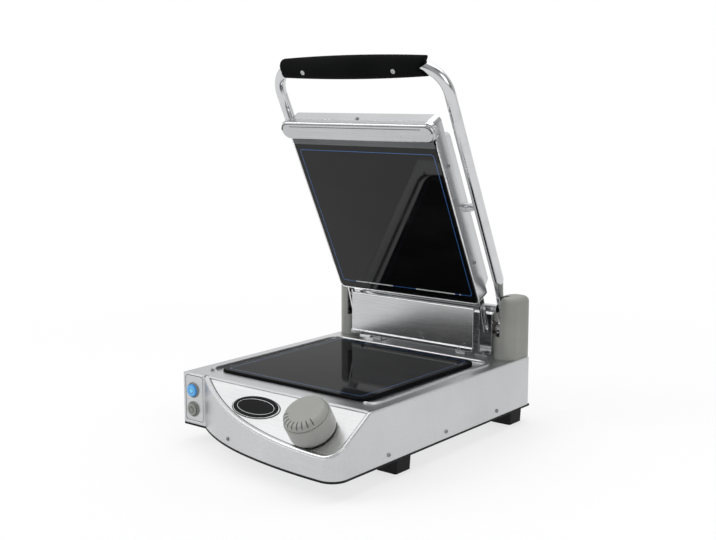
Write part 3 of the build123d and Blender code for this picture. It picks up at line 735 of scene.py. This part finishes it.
@dataclass
class BaseCasing:
    """Pressed base shell with its trim, feet, pan and rear fittings."""

    lip_inset: float = 3.0
    lip_half: float = 2.6
    lip_rise: float = 1.7
    plate_mid: float = -144.6
    plate_half: float = 18.4
    plate_low: float = 29.0
    plate_high: float = 96.2
    plate_corner: float = 6.0
    bow_points: int = 40
    bow_right_x: float = 143.5
    bow_half: float = 148.5
    bow_sag: float = 17.0
    bow_low: tuple[float, float] = (-5.0, -212.0)
    bow_end: tuple[float, float] = (-124.0, -161.5)
    front_y: float = -229.0
    corner_radius: float = 22.0
    side_run: float = 50.0
    side_points: int = 12

    def build(self) -> None:
        """Dress the solids and add the rolled lip and the button wall's border."""
        dress(["base_casing"], SATIN_WALL)
        dress(["edge_trim"], RUBBER)
        dress(["bottom_pan"], SATIN)
        dress(both("foot_front") + both("foot_rear"), RUBBER)
        dress(["casing_screws"], SCREW_SHADED)
        dress(["cable_gland", "terminal_block", "switch_bodies", "thermostat_body"], BLACK)
        self.rolled_lip("panel_rolled_lip", LIP, self.lip_inset, 0.45, self.lip_half, self.lip_rise)
        self.rolled_lip("panel_shadow_line", MARK_DARK_AND_SHADE, self.lip_inset + 3.5, -1.05, 0.55, 0.12)
        self.button_plate()

    def bow(self) -> list[tuple[float, float]]:
        """Plan of the bowed front, from its left end to the right side.

        Returns:
            Pairs of x and y in millimetres.
        """
        front_radius = (self.bow_half**2 + self.bow_sag**2) / (2 * self.bow_sag)
        turn = 2 * math.atan2(self.bow_sag, self.bow_half)
        points = []
        for index in range(self.bow_points):
            angle = turn * index / (self.bow_points - 1)
            depth = self.front_y + front_radius * (1 - math.cos(angle))
            points.append((self.bow_right_x - front_radius * math.sin(angle), depth))
        heading = Vector((-math.cos(turn), math.sin(turn)))
        start = Vector(self.bow_low)
        chord = Vector(self.bow_end) - start
        swing = math.atan2(heading.x * chord.y - heading.y * chord.x, heading.dot(chord))
        radius = chord.length / (2 * math.sin(abs(swing)))
        bend = 1.0 if swing > 0 else -1.0
        normal = Vector((-heading.y, heading.x)) * bend
        for index in range(1, self.bow_points):
            angle = 2 * abs(swing) * index / (self.bow_points - 1)
            spot = start + heading * (radius * math.sin(angle))
            spot = spot + normal * (radius * (1 - math.cos(angle)))
            points.append((spot.x, spot.y))
        points.reverse()
        corner = []
        for turned in range(10, 91, 10):
            angle = math.radians(turned)
            depth = self.front_y + self.corner_radius * (1 - math.cos(angle))
            corner.append((self.bow_right_x + self.corner_radius * math.sin(angle), depth))
        side_x = self.bow_right_x + self.corner_radius
        side_y = self.front_y + self.corner_radius
        steps = range(1, self.side_points + 1)
        side = [(side_x, side_y + self.side_run * step / self.side_points) for step in steps]
        return points + corner + side

    def button_plate(self) -> None:
        """Raised border pressed round the wall that holds the buttons, with a dark line painted inside it
        as shade.
        """
        for name, finish, shrink, half, thick in (
            ("button_plate_edge", LIP, 0.0, 0.9, 0.55),
            # painted shade: a thin dark line just inside the raised edge
            ("button_plate_shade_line", MARK_DARK_AND_SHADE, 1.6, 0.4, 0.12),
        ):
            low, high = self.plate_low + shrink, self.plate_high - shrink
            loop = rounded_loop(self.plate_half - shrink, low, high, self.plate_corner - shrink)
            points = [level_point(self.plate_mid + x, BUTTON_WALL_Y, z) for x, z in loop]
            edge = Piece(name, "base", "satin_steel", finish)
            edge.trace(points, FORWARD, half, thick, closed=True, count=8)
            edge.make()

    def rolled_lip(
        self, name: str, finish: Finish, inset: float, lift: float, half: float, rise: float
    ) -> None:
        """Run a rounded strip along the front of the sloped panel.

        Args:
            name: Name of the piece.
            finish: Its finish.
            inset: Distance inward from the casing's edge, in millimetres.
            lift: Height of its middle above the slope, in millimetres.
            half: Half width in millimetres.
            rise: Half height in millimetres.
        """
        plan = [Vector((x, y, 0)) for x, y in self.bow()]
        ways = along(plan, False)
        rails = []
        slope_up = Vector((0, -math.sin(SLOPE), math.cos(SLOPE)))
        for spot, way in zip(plan, ways):
            inward = Vector((-way.y, way.x, 0)).normalized()
            spot = spot + inward * inset
            height = DECK_Z - (CREASE_Y - spot.y) * math.tan(SLOPE)
            centre = level_point(spot.x, spot.y, height) + slope_up * (lift * MM)
            flat_in = (inward - slope_up * inward.dot(slope_up)).normalized()
            rails.append(section(centre, flat_in, slope_up, half, rise, 12))
        lip = Piece(name, "base", "satin_steel", finish)
        lip.strip(rails)
        lip.make()


@dataclass
class ControlPanel:
    """Sloped panel with its knob, blank badge and push buttons."""

    badge_x: float = -4.5
    badge_s: float = 33.0
    button_x: float = -147.0
    button_y: float = -165.52
    power_z: float = 74.0
    timer_z: float = 47.0
    knob_x: float = 106.5
    knob_s: float = 48.0
    knob_seat: float = 1.0
    tick_line: tuple[tuple[float, float], ...] = (
        (28.25, 29.8),
        (27.95, 32.0),
        (26.15, 34.15),
        (23.5, 35.1),
        (20.0, 35.25),
    )
    tick_count: int = 9
    tick_first: float = 150.0
    tick_step: float = 15.0
    symbol_radius: float = 4.0
    symbol_points: int = 28
    oval_points: int = 72

    def build(self) -> None:
        """Dress the solids and add the badge's lines, dial ticks and button marks."""
        dress(["control_panel"], SATIN_PANEL_LIT)
        dress(["knob_skirt", "knob_face"], KNOB_GREY)
        dress(["knob_shaft"], CHROME)
        dress(["badge_rim", "badge_face"], BADGE)
        dress(["button_bezels", "timer_button"], WARM_GREY)
        dress(["power_button"], LENS)
        # Painted shade: a dark strip laid flat on the panel just outside the badge's rim.
        self.badge_line("badge_groove_shade", "black_plastic", MARK_DARK_AND_SHADE, 40.2, 18.0, 0.8, -1.1)
        self.badge_line("badge_outer_rim", "polished_steel", RIM, 38.4, 16.8, 1.0, -0.55, 0.65)
        self.badge_line("badge_black_band", "black_plastic", BADGE, 35.4, 15.2, 2.3, 0.50)
        self.badge_line("badge_inner_line", "polished_steel", MARK_WHITE, 31.4, 12.3, 0.35, 0.55)
        self.dial_ticks()
        self.symbol("power_symbol", "power_button", self.power_z, MARK_DARK_AND_SHADE, 38, 0.0)
        self.symbol("timer_symbol", "timer_button", self.timer_z, MARK_DARK_AND_SHADE, 0, 2.6)

    def dial_ticks(self) -> None:
        """Dark radial marks that run over the knob's rounded edge."""
        up = (panel_point(0, 0, 1) - panel_point(0, 0, 0)).normalized()
        down = (panel_point(0, 1, 0) - panel_point(0, 0, 0)).normalized()
        across = Vector((1, 0, 0))
        seat = panel_point(self.knob_x, self.knob_s, self.knob_seat)
        ticks = Piece("dial_ticks", "knob", "black_plastic", MARK_DARK_AND_SHADE)
        for step in range(self.tick_count):
            angle = math.radians(self.tick_first - self.tick_step * step)
            out = across * math.cos(angle) + down * math.sin(angle)
            side = out.cross(up).normalized()
            profile = [seat + out * (radius * MM) + up * (height * MM) for radius, height in self.tick_line]
            rails = []
            for point, way in zip(profile, along(profile, False)):
                rails.append(section(point, side, way.cross(side).normalized(), 0.5, 0.12))
            ticks.strip(rails)
        ticks.make(smooth=False)

    def badge_line(
        self,
        name: str,
        slot: str,
        finish: Finish,
        wide: float,
        tall: float,
        half: float,
        lift: float,
        rise: float = 0.07,
    ) -> None:
        """Oval line on or round the blank badge.

        Args:
            name: Name of the piece.
            slot: Name of a material slot, kept on the piece but not used.
            finish: Its finish.
            wide: Half length across, in millimetres.
            tall: Half length down the slope, in millimetres.
            half: Half width of the line, in millimetres.
            lift: Height above the casing's sloped face, in millimetres.
            rise: Half height of the line, in millimetres.
        """
        points = []
        for index in range(self.oval_points):
            turn = 2 * math.pi * index / self.oval_points
            x = self.badge_x + wide * math.cos(turn)
            points.append(panel_point(x, self.badge_s + tall * math.sin(turn), lift))
        up = (panel_point(0, 0, 1) - panel_point(0, 0, 0)).normalized()
        line = Piece(name, "base", slot, finish)
        line.trace(points, up, half, rise, closed=True, count=8)
        line.make()

    def symbol(self, name: str, body: str, z: float, finish: Finish, gap: float, hand: float) -> None:
        """Plain ring and stroke moulded on a button's face.

        Args:
            name: Name of the piece.
            body: Body it rides on.
            z: Height of the button's middle, in millimetres.
            finish: Its finish.
            gap: Half opening of the ring at its top, in degrees.
            hand: Sideways reach of the stroke's lower end, in millimetres.
        """
        mark = Piece(name, body, "black_plastic", finish)
        first = math.radians(90 + gap)
        sweep = 2 * math.pi - 2 * math.radians(gap)
        count = self.symbol_points + 1 if gap else self.symbol_points
        radius = self.symbol_radius
        rails = []
        for index in range(count):
            turn = first + sweep * index / self.symbol_points
            x = self.button_x + radius * math.cos(turn)
            spot = level_point(x, self.button_y, z + radius * math.sin(turn))
            away = Vector((math.cos(turn), 0, math.sin(turn)))
            rails.append(section(spot, away, FORWARD, 0.45, 0.08))
        mark.strip(rails, closed=not gap)
        top = level_point(self.button_x, self.button_y, z + (5.0 if gap else 3.2))
        foot = level_point(self.button_x + hand, self.button_y, z + (0.6 if gap else -0.8))
        way = (foot - top).normalized()
        mark.strip([section(end, way.cross(FORWARD), FORWARD, 0.45, 0.09) for end in (top, foot)])
        mark.make(smooth=False)


@dataclass
class CookingSurface:
    """Lower glass with its seal, heater and printed lines."""

    half_x: float = 127.4
    front: float = -129.0
    rear: float = 131.0
    top: float = 101.5
    border_inset: float = 9.0

    def build(self) -> None:
        """Dress the solids and add the printed border."""
        dress(["lower_glass"], GLASS_LOW)
        dress(["lower_seal"], SEAL)
        dress(["lower_heater_dish"], CHROME)
        dress(["lower_insulation"], BOARD)
        dress(["lower_element"], RIBBON)
        inset = self.border_inset
        loop = rounded_loop(self.half_x - inset, self.front + inset, self.rear - inset, 6.0)
        border = Piece("lower_glass_border", "base", "black_glass", MARK_BLUE)
        points = [level_point(x, y, self.top + 0.05) for x, y in loop]
        border.trace(points, Vector((0, 0, 1)), 0.35, 0.06, closed=True)
        border.make(smooth=False)


@dataclass
class SplashGuard:
    """Upright panel, pillars, cross beam and moulded hinge covers."""

    rear_belly: tuple[float, float, float, float] = (8.0, 15.0, 15.0, 4.0)
    side_belly: tuple[float, float, float, float] = (1.0, 2.5, 2.0, -0.5)
    rear_drop: float = 5.0

    def build(self) -> None:
        """Dress the solids and belly the covers."""
        dress(["splash_panel"], SATIN_SPLASH)
        dress(["splash_screws", "pillar_screws"], SCREW_SHADED)
        dress(both("hinge_pillar"), CHROME)
        dress(["rear_beam"], SATIN)
        dress(both("hinge_cover"), WARM_GREY)
        for name in both("hinge_cover"):
            self.bulge(name)
        dress(both("hinge_bush"), BRONZE)
        dress(both("counter_spring"), SPRING)

    def bulge(self, name: str) -> None:
        """Belly the rear and outer walls of a moulded hinge cover.

        Args:
            name: The cover's node.
        """
        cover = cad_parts[name]
        corners = [cover.matrix_world @ Vector(corner) for corner in cover.bound_box]
        low = Vector([min(corner[axis] for corner in corners) for axis in range(3)])
        high = Vector([max(corner[axis] for corner in corners) for axis in range(3)])
        cage = bpy.data.lattices.new(name + "_cage")
        cage.points_u, cage.points_v, cage.points_w = 3, 3, 4
        cage.interpolation_type_w = "KEY_LINEAR"
        holder = bpy.data.objects.new(name + "_cage", cage)
        holder.location = (low + high) / 2
        holder.scale = high - low
        bpy.context.scene.collection.objects.link(holder)
        side = Side.RIGHT if low.x > 0 else Side.LEFT
        outer = 2 if side is Side.RIGHT else 0
        size = high - low
        for index, point in enumerate(cage.points):
            column, row, layer = index % 3, (index // 3) % 3, index // 9
            if row == 2:
                point.co_deform.y += self.rear_belly[layer] * MM / size.y
                if layer == 3:
                    point.co_deform.z -= self.rear_drop * MM / size.z
            if column == outer:
                point.co_deform.x += side.value * self.side_belly[layer] * MM / size.x
        shape = cover.modifiers.new("belly", "LATTICE")
        shape.object = holder


@dataclass
class ArmsAndHandle:
    """Bent tube arms, tie bar, hubs and barrel grip."""

    grip_half: float = 126.0
    grip_middle: float = 16.5
    grip_end: float = 13.6
    handle_u: float = 358.0
    handle_v: float = 30.0
    mouth_right: float = 12.0
    mouth_left: float = 4.0
    mouth_start: float = 0.85
    ring_points: int = 48
    crown_steps: int = 24
    end_rounding: tuple[tuple[float, float], ...] = (
        (1.0, 0.35),
        (1.0, 0.62),
        (1.0, 0.86),
        (0.996, 0.95),
        (0.985, 1.0),
    )

    def build(self) -> None:
        """Dress the solids and put the shaped grip in place of its plain one."""
        dress(["arm_frame", "tie_bar", "hinge_axle"], TUBE)
        dress(both("hinge_hub") + both("pivot_pin"), CHROME)
        dress(["handle_grip"], BLACK)
        dress(["handle_screws"], SCREW)
        self.barrel()

    def barrel(self) -> None:
        """Crowned grip whose ends are cut to a V round the bent tube."""
        origin = lid_point(0, self.handle_u, self.handle_v)
        across = (lid_point(1, self.handle_u, self.handle_v) - origin).normalized()
        upward = (lid_point(0, self.handle_u + 1, self.handle_v) - origin).normalized()
        out = across.cross(upward).normalized()
        steps = range(self.crown_steps + 1)
        stations = [(-place, share) for place, share in self.end_rounding]
        stations += [(-0.95 + 1.90 * step / self.crown_steps, 1.0) for step in steps]
        stations += list(reversed(self.end_rounding))
        rails = []
        for place, share in stations:
            radius = (self.grip_middle - (self.grip_middle - self.grip_end) * place * place) * share
            side = Side.RIGHT if place > 0 else Side.LEFT
            mouth = self.mouth_right if side is Side.RIGHT else self.mouth_left
            mouth *= max(0.0, (abs(place) - self.mouth_start) / 0.15)
            ring = []
            for index in range(self.ring_points):
                turn = 2 * math.pi * index / self.ring_points
                pull = mouth * (1 - abs(math.sin(turn)) * share) * side.value
                spot = across * ((place * self.grip_half - pull) * MM)
                spot += (out * math.cos(turn) + upward * math.sin(turn)) * (radius * MM)
                ring.append(origin + spot)
            rails.append(ring)
        grip = Piece("handle_grip_barrel", "arms", "black_plastic", BLACK)
        grip.strip(rails)
        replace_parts(grip.make(), "handle_grip")


@dataclass
class UpperPlate:
    """Floating upper plate: cover, glass, front bar and printed lines."""

    print_half_x: float = 118.5
    print_low: float = 14.6
    print_high: float = 243.0
    bar_mid: float = 277.5
    bar_half: float = 135.0
    bar_face: float = -8.0
    seam_low: float = 6.6
    seam_high: float = 10.6
    end_radius: float = 13.5
    tab_radius: float = 14.0
    tab_depth: float = 7.5
    arc_steps: int = 12
    edge_half_x: float = 127.4
    edge_corner: float = 8.0
    edge_top: float = 258.0
    dashes: tuple[tuple[float, float], ...] = ((-94.0, -23.0), (20.0, 89.0), (97.0, 99.2))

    def build(self) -> None:
        """Dress the solids and add the prints, the bright edge, a painted sheen on the glass and the bar's
        trim.
        """
        dress(["lid_casing", "lid_cover"], SATIN_LID)
        dress(["front_bar"], SATIN_BAR)
        dress(["upper_glass"], GLASS_UP)
        dress(["upper_seal"], SEAL)
        dress(["upper_heater_dish"], CHROME)
        dress(["upper_insulation"], BOARD)
        dress(["upper_element"], RIBBON)
        dress(both("pivot_lug") + both("guide_strap"), CHROME)
        dress(["lid_screws"], SCREW_SHADED)
        self.printed_border()
        self.printed_dashes()
        self.end_tabs()
        self.bar_lines()
        self.glass_edge()

    def axes(self) -> tuple[Vector, Vector]:
        """Find how the open lid lies.

        Returns:
            Unit directions along the lid and out of its glass face.
        """
        origin = lid_point(0, 0, 0)
        along_lid = (lid_point(0, 1, 0) - origin).normalized()
        return along_lid, (lid_point(0, 0, -1) - origin).normalized()

    def printed_border(self) -> None:
        """Thin blue line inside the glass edge."""
        loop = rounded_loop(self.print_half_x, self.print_low, self.print_high, 4.0)
        points = [lid_point(x, u, -0.05) for x, u in loop]
        border = Piece("upper_glass_border", "upper_plate", "black_glass_upper", MARK_BLUE)
        border.trace(points, self.axes()[1], 0.45, 0.06, closed=True)
        border.make(smooth=False)

    def printed_dashes(self) -> None:
        """White dashes and a dot near the glass's rear edge."""
        along_lid, out = self.axes()
        dashes = Piece("upper_glass_dashes", "upper_plate", "black_glass_upper", MARK_WHITE)
        for span in self.dashes:
            ends = [lid_point(x, self.print_low, -0.06) for x in span]
            dashes.strip([section(end, along_lid, out, 0.9, 0.06) for end in ends])
        dashes.make(smooth=False)

    def bar_lines(self) -> None:
        """Two dark seams along the front bar, the upper one turned down at both ends."""
        along_lid, out = self.axes()
        face = self.bar_face - 0.05
        seams = Piece("front_bar_seams", "upper_plate", "black_plastic", MARK_DARK_AND_SHADE)
        ends = [lid_point(x, self.bar_mid + self.seam_low, face) for x in (-117.0, 114.0)]
        seams.strip([section(end, along_lid, out, 0.45, 0.08) for end in ends])
        middle = self.bar_half - self.end_radius
        for side in Side:
            points = []
            for step in range(self.arc_steps + 1):
                turn = math.radians(5 + 85 * step / self.arc_steps)
                x = side.value * (middle + 11 * math.cos(turn))
                points.append(lid_point(x, self.bar_mid + self.seam_high * math.sin(turn), face))
            rails = []
            for step, (point, way) in enumerate(zip(points, along(points, False))):
                half = 1.3 - 0.85 * step / self.arc_steps
                rails.append(section(point, way.cross(out).normalized(), out, half, 0.08))
            seams.strip(rails)
        ends = [lid_point(x, self.bar_mid + self.seam_high, face) for x in (-middle, middle)]
        seams.strip([section(end, along_lid, out, 0.45, 0.08) for end in ends])
        seams.make(smooth=False)

    def glass_edge(self) -> None:
        """Bright edge round the upper glass, and a dark metal strip laid on the glass below the front bar
        as a painted sheen.
        """
        half_x, corner = self.edge_half_x, self.edge_corner
        straight = half_x - corner
        bends = (0.3, 0.6, 0.9, 1.2)
        path = [(-half_x, self.edge_top), (-half_x, 8.0)]
        path += [(-straight - corner * math.cos(t), 9.0 - corner * math.sin(t)) for t in bends]
        path += [(-straight, 0.9), (straight, 0.9)]
        path += [(straight + corner * math.sin(t), 9.0 - corner * math.cos(t)) for t in bends]
        path += [(half_x, 9.0), (half_x, self.edge_top)]
        along_lid, out = self.axes()
        edge = Piece("upper_band_edge", "upper_plate", "satin_steel", RIM)
        edge.trace([lid_point(x, u, 0.8) for x, u in path], out, 1.1, 0.8, count=8)
        edge.make()
        # painted sheen: a thin metal strip laid on the glass face below the bar
        band = Piece("upper_glass_top_painted_sheen", "upper_plate", "satin_steel", GLASS_SHEEN)
        ends = [lid_point(x, 257.6, -0.02) for x in (-124.6, 124.6)]
        band.strip([section(end, along_lid, out, 5.4, 0.05) for end in ends])
        band.make(smooth=False)

    def end_tabs(self) -> None:
        """Bright tabs folded round both ends of the front bar."""
        out = self.axes()[1]
        tabs = Piece("front_bar_tabs", "upper_plate", "polished_steel", CHROME)
        depth = self.bar_face + self.tab_depth
        for side in Side:
            middle = side.value * (self.bar_half - self.end_radius)
            rails = []
            for step in range(self.arc_steps + 1):
                angle = math.radians(8 + 82 * step / self.arc_steps)
                x = side.value * (self.bar_half - self.end_radius + self.tab_radius * math.cos(angle))
                spot = lid_point(x, self.bar_mid + self.tab_radius * math.sin(angle), depth)
                away = (spot - lid_point(middle, self.bar_mid, depth)).normalized()
                rails.append(section(spot, away, out, 0.6, 3.4))
            tabs.strip(rails)
        tabs.make(smooth=True, bevel=0.4)


@dataclass
class Studio:
    """Pale floor, white surround, soft lamps and the photograph's viewpoint."""

    camera_at: tuple[float, float, float] = (0.9789, -1.1992, 0.4806)
    pitch: float = 81.07
    heading: float = 38.74
    lens: float = 56.44
    flags: tuple[tuple[tuple[float, float, float], float, float, float], ...] = (
        ((0.75, 0.55, 0.36), 0.80, 0.93, 0.45),
        ((1.0, -0.05, 0.12), 0.955, 0.985, 0.65),
        ((-0.35, -1.0, 0.05), 0.93, 0.985, 0.60),
        ((0.55, -0.35, 1.0), 0.95, 0.985, 0.55),
        ((-1.0, 0.5, 0.35), 0.94, 0.98, 0.55),
    )

    def build(self) -> None:
        """Set the camera, floor, world and lamps."""
        self.camera()
        self.floor()
        self.world()
        self.lamp("key", (-1.3, -1.5, 1.9), 1.5, 19.0)
        self.lamp("fill", (1.9, -0.6, 1.2), 1.2, 9.0)
        self.lamp("top", (0.1, 0.5, 2.2), 1.8, 13.0)
        bpy.context.scene.view_settings.view_transform = "Standard"

    def camera(self) -> None:
        """Camera at the photograph's place, looking the same way."""
        data = bpy.data.cameras.new("photo_camera")
        data.lens = self.lens
        data.sensor_width = 36.0
        made = bpy.data.objects.new("photo_camera", data)
        made.location = self.camera_at
        made.rotation_euler = (math.radians(self.pitch), 0.0, math.radians(self.heading))
        bpy.context.scene.collection.objects.link(made)
        bpy.context.scene.camera = made

    def floor(self) -> None:
        """Wide pale floor that keeps the grill's shadow."""
        work = bmesh.new()
        bmesh.ops.create_grid(work, x_segments=8, y_segments=8, size=6.0)
        mesh = bpy.data.meshes.new("floor")
        work.to_mesh(mesh)
        work.free()
        made = bpy.data.objects.new("floor", mesh)
        bpy.context.scene.collection.objects.link(made)
        material = bpy.data.materials.new("pale_floor")
        material.use_nodes = True
        graph = NodeGraph(material.node_tree)
        grit = graph.noise(graph.place(), 40.0, 3.0)
        colour = graph.blend(grit, (0.86, 0.86, 0.86), (0.90, 0.90, 0.90))
        matt = graph.add("ShaderNodeBsdfPrincipled", None, {"Base Color": colour, "Roughness": 0.8})
        glow = graph.add("ShaderNodeEmission", None, {"Color": (1.0, 1.0, 1.0, 1.0), "Strength": 1.0})
        path = graph.add("ShaderNodeLightPath")
        glossy = Sock(graph, path.outputs["Is Glossy Ray"])
        seen = Sock(graph, path.outputs["Is Camera Ray"]).larger(glossy)
        reach = graph.add("ShaderNodeVectorMath", {"operation": "LENGTH"}, {0: graph.place()})
        fade = Sock(graph, reach.outputs["Value"]).step(0.35, 1.3) * 0.35 + 0.65
        sockets = {0: seen * fade, 1: matt.outputs[0], 2: glow.outputs[0]}
        mixed = graph.add("ShaderNodeMixShader", None, sockets)
        graph.add("ShaderNodeOutputMaterial", None, {"Surface": mixed.outputs[0]})
        mesh.materials.append(material)

    def world(self) -> None:
        """White surround for the eye, graded studio for light and gloss."""
        surround = bpy.data.worlds.new("studio")
        bpy.context.scene.world = surround
        surround.use_nodes = True
        graph = NodeGraph(surround.node_tree)
        way = graph.add("ShaderNodeTexCoord").outputs["Generated"]
        toward = Vector(self.camera_at).normalized()
        product = {"operation": "DOT_PRODUCT"}
        dot = graph.add("ShaderNodeVectorMath", product, {0: way, 1: tuple(toward)})
        near = Sock(graph, dot.outputs["Value"]).step(-0.1, 0.9)
        flag = 0.0
        for place, inner, outer, depth in self.flags:
            aim = tuple(Vector(place).normalized())
            aside = graph.add("ShaderNodeVectorMath", product, {0: way, 1: aim})
            flag = Sock(graph, aside.outputs["Value"]).step(inner, outer) * depth + flag
        path = graph.add("ShaderNodeLightPath")
        white = Sock(graph, path.outputs["Is Camera Ray"])
        shade = ((1.0 - near * 0.55) * (1.0 - flag)).larger(0.06)
        glow = white + (1.0 - white) * shade
        back = graph.add("ShaderNodeBackground", None, {"Color": (1.0, 1.0, 1.0, 1.0), "Strength": glow})
        graph.add("ShaderNodeOutputWorld", None, {"Surface": back.outputs[0]})

    def lamp(self, name: str, place: tuple[float, float, float], size: float, power: float) -> None:
        """Add one soft square lamp aimed at the grill.

        Args:
            name: The lamp's name.
            place: Where it stands, in metres.
            size: Edge length in metres.
            power: Power in watts.
        """
        data = bpy.data.lights.new(name, "AREA")
        data.size = size
        data.energy = power
        made = bpy.data.objects.new(name, data)
        made.location = place
        aim = Vector((0.0, 0.0, 0.2)) - Vector(place)
        made.rotation_euler = aim.to_track_quat("-Z", "Y").to_euler()
        bpy.context.scene.collection.objects.link(made)


def main() -> None:
    """Build every sub-assembly in order."""
    logging.basicConfig(level=logging.INFO, format="%(message)s")
    Studio().build()
    parts = (BaseCasing(), ControlPanel(), CookingSurface(), SplashGuard(), ArmsAndHandle(), UpperPlate())
    for part in parts:
        LOG.info("building %s", type(part).__name__)
        part.build()


if __name__ == "__main__":
    main()
